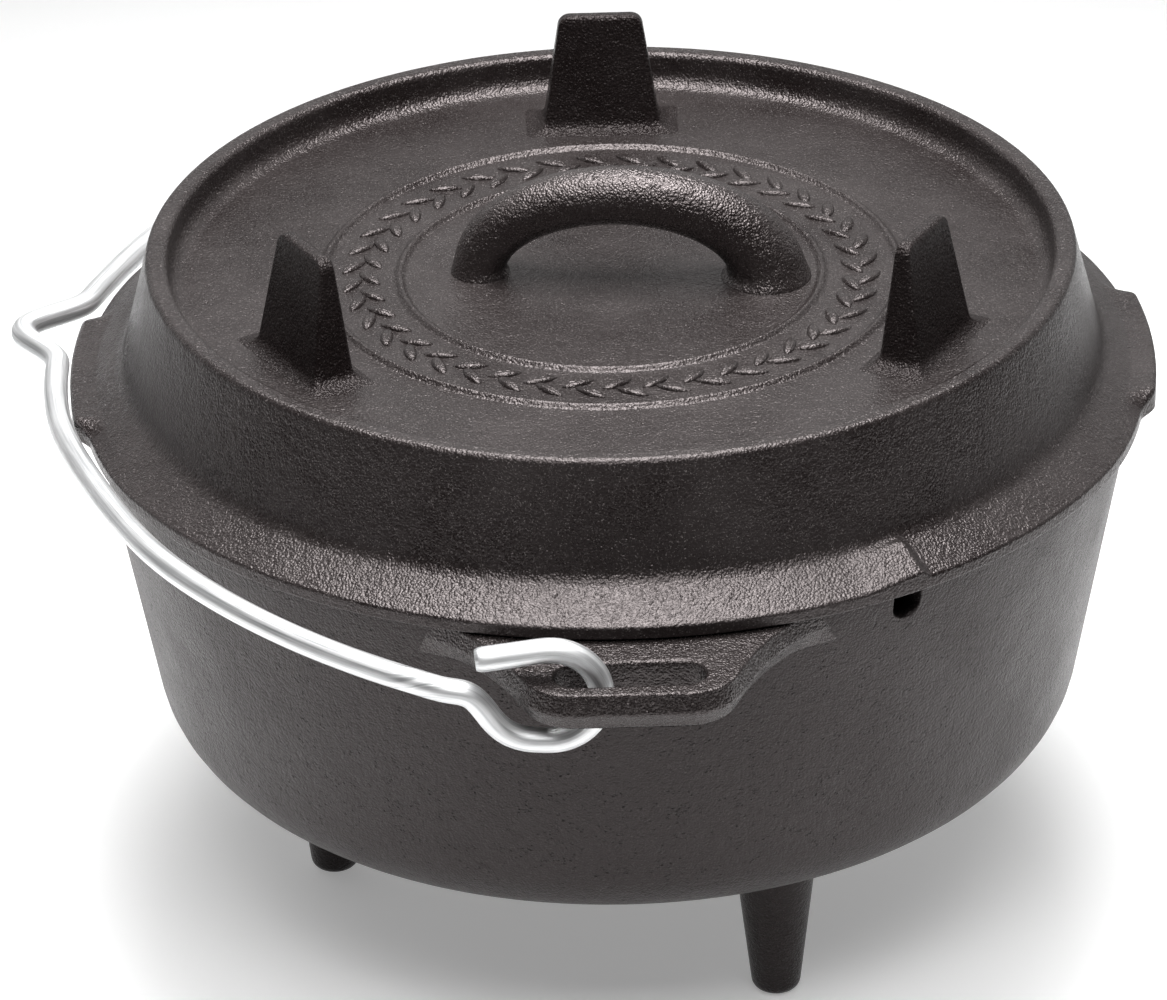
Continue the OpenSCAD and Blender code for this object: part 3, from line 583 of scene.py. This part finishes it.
# Handle: an arched round bar cast on the plate, thicker at its right end, where the iron was poured in.
# Both ends spread a little into the plate, and its skin is wavier than the plate's.
handle_span, handle_rise, handle_thin, handle_thick, handle_flare = 59.0, 17.8, 5.4, 6.8, 1.8
handle_shift, handle_turn, handle_spread, spread_h = 2.5, np.radians(-5.4), 0.8, 3.0
handle_lift, stub_z, flare_power, handle_sides, arch_points = 0.5, (-1.0, -0.2), 6, 32, 61
handle_finish = iron("handle_iron", ior=1.66, Grain=0.9, Waves=1.6, Dullness=0.3)
# Middle line: half an ellipse, with a short upright stub at each end that goes into the plate
bend = np.linspace(0, np.pi, arch_points)
arch_z = handle_lift + np.sin(bend) * (handle_rise - handle_lift)
arch = np.stack([-np.cos(bend) * handle_span / 2, 0 * bend, arch_z], -1)
stubs = np.array([[handle_span / 2, 0, z] for z in stub_z])
arch = np.vstack([stubs * [-1, 1, 1], arch, stubs[::-1]])
# Thickness: it grows evenly from left to right, swells near the right end, and spreads close to the plate
gone = np.clip(np.concatenate([[0, 0], bend, [np.pi, np.pi]]) / np.pi, 0, 1)
thick = handle_thin + (handle_thick - handle_thin) * gone + handle_flare * gone ** flare_power
thick = thick + handle_spread * np.clip(1 - arch[:, 2] / spread_h, 0, 1) ** 2
handle = swept(arch, thick, np.array([[0, 1.0, 0]]), handle_sides)
handle = handle + [handle_shift, 0, plate_z]
turn_c, turn_s = np.cos(handle_turn), np.sin(handle_turn)
turn_flat = np.array([[turn_c, turn_s, 0], [-turn_s, turn_c, 0], [0, 0, 1]])
place(skin("lid_handle_casting", handle @ turn_flat, handle_finish), "lid", "lid_iron", "lid_handle")

# Lid feet: three blades cast on the plate, a third of a turn apart, that carry the upturned lid as a pan.
# Each tapers both ways to a thin straight top, leans in a little, and spreads in a fillet at the plate.
foot_ring, foot_h, foot_base, foot_tip, foot_lean = 72.2, 25.9, (12.5, 4.7), (8.7, 1.45), 1.1
foot_fillet, foot_flare, foot_rounds, foot_corner = 2.4, (1.6, 1.0), (2.4, 0.9), (1.2, 0.7)
foot_sink, foot_skirt, shank_low, shank_high, corner_most, fillet_from = 0.5, 1.6, 5, 4, 0.9, 0.25
fillet_rows, shank_rows, top_rows, blade_points = 7, 8, 11, 7
# The lid feet take the darker light end: painted shade
foot_finish = iron("foot_iron", ior=1.31, Grain=1.15, Light=shaded_grey)
# Heights of the rows: inside the plate, up the fillet, up the shank, and over the rounded top
up = np.concatenate([
    [-foot_sink, 0.0], foot_fillet * (1 - np.cos(np.linspace(fillet_from, 1.0, fillet_rows) * np.pi / 2)),
    np.linspace(shank_low, foot_h - shank_high, shank_rows),
    foot_h - foot_rounds[0] * (1 - np.sin(np.linspace(0, 1, top_rows) * np.pi / 2))])
fillet_left = np.clip(foot_fillet - up, 0, foot_fillet)
spread = foot_fillet - np.sqrt(np.maximum(foot_fillet ** 2 - fillet_left ** 2, 0))
spread[0] += foot_skirt
tuck = [r - np.sqrt(r ** 2 - np.clip(up - foot_h + r, 0, r) ** 2) for r in foot_rounds]
tall = np.clip(up / foot_h, 0, 1)
# Each row is a rectangle with round corners: half width and half thickness fall evenly with the height
half_w, half_t = (
    foot_base[k] + (foot_tip[k] - foot_base[k]) * tall + foot_flare[k] * spread - tuck[k] for k in range(2))
corner_r = foot_corner[0] + (foot_corner[1] - foot_corner[0]) * tall
corner_r = np.minimum(corner_r, corner_most * np.minimum(half_w, half_t))
quarter = np.linspace(0, np.pi / 2, blade_points)
turn_az = (quarter + np.arange(4)[:, None] * np.pi / 2).ravel()
sign_x, sign_y = np.repeat([1, -1, -1, 1], blade_points), np.repeat([1, 1, -1, -1], blade_points)
blade_x = sign_x * (half_t - corner_r)[:, None] + corner_r[:, None] * np.cos(turn_az)
blade_y = sign_y * (half_w - corner_r)[:, None] + corner_r[:, None] * np.sin(turn_az)
blade_z = np.broadcast_to(up[:, None] + plate_z, blade_x.shape)
blade_x = blade_x + foot_ring - foot_lean * tall[:, None]
for foot, az in (("back", 90), ("left", 210), ("right", 330)):
    cos_az, sin_az = np.cos(np.radians(az)), np.sin(np.radians(az))
    grid = np.stack([blade_x * cos_az - blade_y * sin_az, blade_x * sin_az + blade_y * cos_az, blade_z], -1)
    place(skin("lid_foot_" + foot + "_casting", grid, foot_finish), "lid", "lid_iron", "lid_foot_" + foot)

# Stage: a pale paper floor with a painted glow round the object, under a white studio sky that darkens
# behind the camera and overhead.
# A soft box hangs above the lid, a wide panel lights the front from above the camera's line of sight,
# and the camera stands where the photograph was taken. The floor, sky and lamps are in metres.
floor_half, floor_low, paper_white, paper_dull = 9.0, -0.0002, (0.9, 0.9, 0.9, 1), 0.9
# The painted glow on the paper: full strength near the object, and gone further out
painted_glow_near, painted_glow_far, painted_glow_strength = 0.14, 0.34, 0.26
plain_white = (1, 1, 1, 1)


def eased(tree, value, low, high, first, last):
    """first below low, last above high, and a smooth step of 3 t^2 - 2 t^3 between them, on a node."""
    return put(tree, "MapRange", {
        "Value": value, "From Min": low, "From Max": high, "To Min": first, "To Max": last},
        interpolation_type="SMOOTHSTEP").outputs[0]


floor_finish = bpy.data.materials.new("floor_paper")
floor_finish.use_nodes = True
paper_tree = floor_finish.node_tree
paper = paper_tree.nodes["Principled BSDF"].inputs
paper["Base Color"].default_value = paper_white
paper["Roughness"].default_value = paper_dull
paper["Specular IOR Level"].default_value = 0.0
# A faint painted glow round the object pales its shadow on the paper: it is alike to the eye and in
# reflections, and it lights nothing
path = put(paper_tree, "LightPath").outputs
seen = worked(paper_tree, "MAXIMUM", path["Is Camera Ray"], path["Is Glossy Ray"])
seen = worked(paper_tree, "MAXIMUM", seen, path["Is Transmission Ray"])
floor_spot = put(paper_tree, "TexCoord").outputs["Object"]
from_mid = put(paper_tree, "VectorMath", {0: floor_spot}, operation="LENGTH").outputs["Value"]
painted_glow = eased(paper_tree, from_mid, low=painted_glow_near, high=painted_glow_far, first=painted_glow_strength, last=0.0)
paper["Emission Color"].default_value = plain_white
paper_tree.links.new(worked(paper_tree, "MULTIPLY", painted_glow, seen), paper["Emission Strength"])
floor_mesh = bpy.data.meshes.new("floor")
floor_ways = ((-1, -1), (1, -1), (1, 1), (-1, 1))
floor_corners = [(x * floor_half, y * floor_half, floor_low) for x, y in floor_ways]
floor_mesh.from_pydata(floor_corners, [], [(0, 1, 2, 3)])
floor_mesh.materials.append(floor_finish)
floor = bpy.data.objects.new("floor", floor_mesh)
bpy.context.scene.collection.objects.link(floor)

sky = bpy.data.worlds.new("studio")
bpy.context.scene.world = sky
sky.use_nodes = True
sky_tree = sky.node_tree
way = put(sky_tree, "SeparateXYZ", {0: put(sky_tree, "TexCoord").outputs["Generated"]}).outputs
ahead_light = eased(sky_tree, way["Y"], low=-0.2, high=0.65, first=0.04, last=0.7)
below_top = eased(sky_tree, way["Z"], low=0.5, high=0.95, first=1.0, last=0.3)
backdrop = sky_tree.nodes["Background"].inputs
sky_tree.links.new(worked(sky_tree, "MULTIPLY", ahead_light, below_top), backdrop["Strength"])
backdrop["Color"].default_value = plain_white

for name, size, watts, at, nod, beam in (
    ("soft_box", (0.42, 0.36), 3.5, (0.0, 0.05, 0.68), 0, 115),
    ("front_panel", (1.0, 0.5), 1.6, (0.0, -0.75, 1.15), 33, 60)):
    lamp = bpy.data.lights.new(name, "AREA")
    lamp.shape, (lamp.size, lamp.size_y) = "RECTANGLE", size
    lamp.energy, lamp.spread = watts, np.radians(beam)
    panel = bpy.data.objects.new(name, lamp)
    panel.location = at
    panel.rotation_euler = (np.radians(nod), 0, 0)
    bpy.context.scene.collection.objects.link(panel)

# The camera's place and turns, and its focal length in pixels of the photograph's width
eye, (yaw, pitch, roll) = np.array([-24.5, -1314.3, 801.7]), np.radians((0.78, 28.52, -1.18))
photo_w, photo_f, sensor_w, nearest, furthest = 1167, 7138.44, 36.0, 0.05, 50.0
ahead = np.array([np.sin(yaw) * np.cos(pitch), np.cos(yaw) * np.cos(pitch), -np.sin(pitch)])
level_right = np.array([np.cos(yaw), -np.sin(yaw), 0])
level_up = np.cross(level_right, ahead)
right = np.cos(roll) * level_right + np.sin(roll) * level_up
above_eye = np.cos(roll) * level_up - np.sin(roll) * level_right
lens = bpy.data.cameras.new("camera")
lens.sensor_fit, lens.sensor_width, lens.lens = "HORIZONTAL", sensor_w, photo_f / photo_w * sensor_w
lens.clip_start, lens.clip_end = nearest, furthest
camera = bpy.data.objects.new("camera", lens)
pose = np.eye(4)
pose[:3, 0], pose[:3, 1], pose[:3, 2], pose[:3, 3] = right, above_eye, -ahead, eye * MM
camera.matrix_world = Matrix(pose.tolist())
bpy.context.scene.collection.objects.link(camera)
bpy.context.scene.camera = camera
bpy.context.scene.view_settings.view_transform = "Standard"
